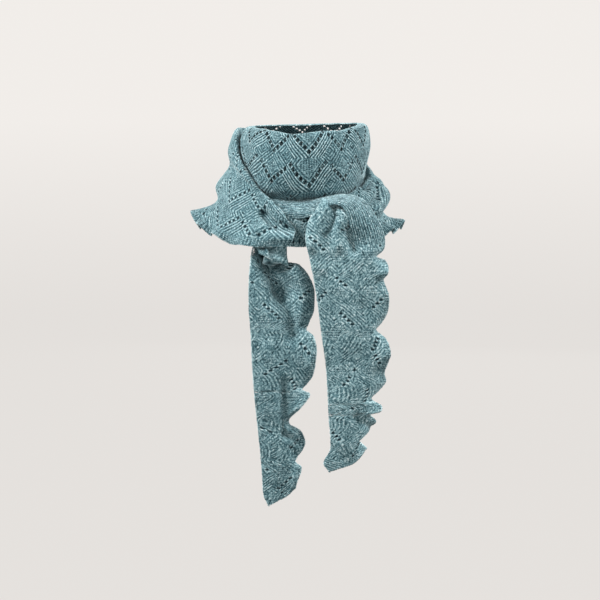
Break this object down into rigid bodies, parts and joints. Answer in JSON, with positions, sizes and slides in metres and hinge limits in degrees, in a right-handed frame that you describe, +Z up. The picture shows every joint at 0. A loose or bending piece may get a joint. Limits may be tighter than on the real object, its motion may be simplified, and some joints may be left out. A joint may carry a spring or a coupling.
{
  "type": "wool scarf",
  "caption": "Knitted lace wool scarf with a ruffled edge, wound round an open neck and tied loosely in front with two hanging tails.",
  "frame": {"origin": "on the axis of the neck that wears the scarf, level with the hem of the outer turn at the front", "axes": "+Z up along the neck, -Y to the wearer's front, +X to the right as seen from the front"},
  "size_m": [0.2198, 0.2229, 0.3751],
  "materials": {
    "wool_knit": "matte, slightly fuzzy knitted wool"
  },
  "bodies": {
    "root": {"neck_band": "wool_knit", "outer_turn": "wool_knit", "tie_band": "wool_knit", "knot_strip": "wool_knit", "knot_flap": "wool_knit", "right_tail": "wool_knit", "left_tail": "wool_knit", "left_tail_turn": "wool_knit"}
  },
  "joints": []
}
